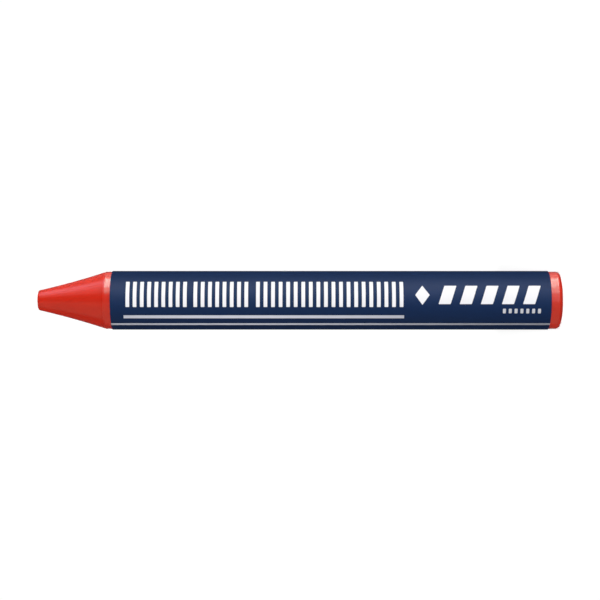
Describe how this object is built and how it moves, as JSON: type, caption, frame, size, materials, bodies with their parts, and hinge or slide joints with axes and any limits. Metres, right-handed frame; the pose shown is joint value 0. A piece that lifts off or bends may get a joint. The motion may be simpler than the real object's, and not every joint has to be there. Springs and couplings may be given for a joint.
{
  "type": "wax marking crayon",
  "caption": "Round wax marking crayon with a tapered blunt nose, a flat butt end and a wound paper sleeve.",
  "frame": {"origin": "centre of the flat butt face, which the crayon stands on", "axes": "+Z along the crayon's axis from the butt to the nose; -Y faces the viewer, on the middle of the printed side; +Y is the side with the paper's lap"},
  "size_m": [0.0124, 0.0125, 0.11],
  "materials": {
    "wax": "red moulded wax with a soft semi-gloss skin",
    "printed_paper": "dark blue printed paper with a satin coating, white shapes and silver stripes"
  },
  "bodies": {
    "root": {"wax_stick": "wax", "paper_sleeve": "printed_paper"}
  },
  "joints": []
}
